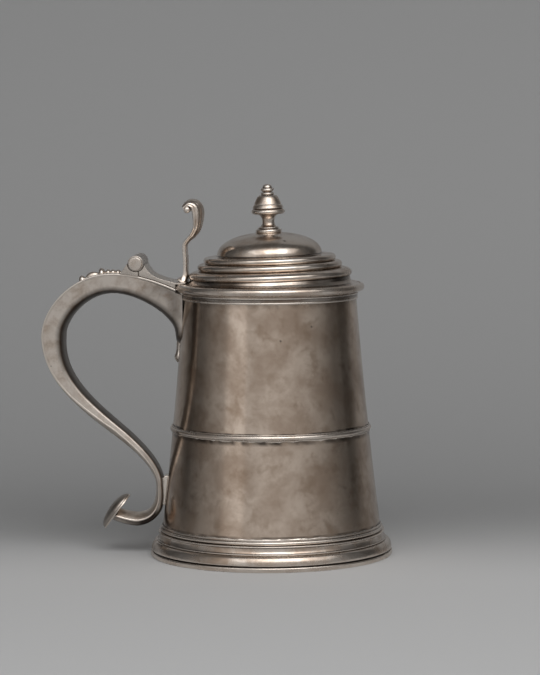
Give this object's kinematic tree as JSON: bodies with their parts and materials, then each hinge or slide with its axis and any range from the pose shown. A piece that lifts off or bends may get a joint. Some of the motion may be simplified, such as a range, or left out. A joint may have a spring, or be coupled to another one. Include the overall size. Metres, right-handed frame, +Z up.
{
  "type": "lidded tankard",
  "caption": "Lidded silver tankard: flaring round body on a moulded foot, stepped domed lid with a finial on a knuckle hinge, scroll thumbpiece and hollow scroll handle.",
  "frame": {"origin": "middle of the object's footprint, on the plane that it stands on; the body's axis is vertical, 29.4 mm towards +X", "axes": "+Z up, -X towards the handle, the hinge pin along Y"},
  "size_m": [0.1928, 0.134, 0.2049],
  "materials": {
    "silver_satin": "satin old silver, warm grey",
    "silver_polished": "rubbed bright silver on the mouldings",
    "silver_tarnished": "mottled, tarnished silver"
  },
  "bodies": {
    "mug": {"body_wall": "silver_tarnished", "body_floor": "silver_tarnished", "foot_moulding": "silver_polished", "mid_band": "silver_polished", "rim_moulding": "silver_polished", "handle_channel": "silver_satin", "handle_back": "silver_satin", "handle_ornament": "silver_polished", "body_drop": "silver_satin", "lower_strut": "silver_satin", "terminal_plate": "silver_polished", "terminal_dome": "silver_satin", "hinge_leaf": "silver_satin", "hinge_knuckle_1": "silver_polished", "hinge_knuckle_3": "silver_polished", "hinge_knuckle_5": "silver_polished", "hinge_pin": "silver_polished", "hinge_cap_near": "silver_polished", "hinge_cap_far": "silver_polished"},
    "lid": {"lid_shell": "silver_satin", "lid_rim": "silver_polished", "lid_bezel": "silver_tarnished", "finial": "silver_polished", "finial_washer": "silver_tarnished", "lid_hinge_plate": "silver_satin", "hinge_knuckle_2": "silver_polished", "hinge_knuckle_4": "silver_polished", "thumbpiece": "silver_satin"}
  },
  "joints": [
    {"name": "lid_hinge", "type": "hinge", "parent": "mug", "child": "lid", "pos_m": [-0.0434, 0, 0.162], "axis": [0, -1, 0], "range_deg": [0, 105]}
  ]
}
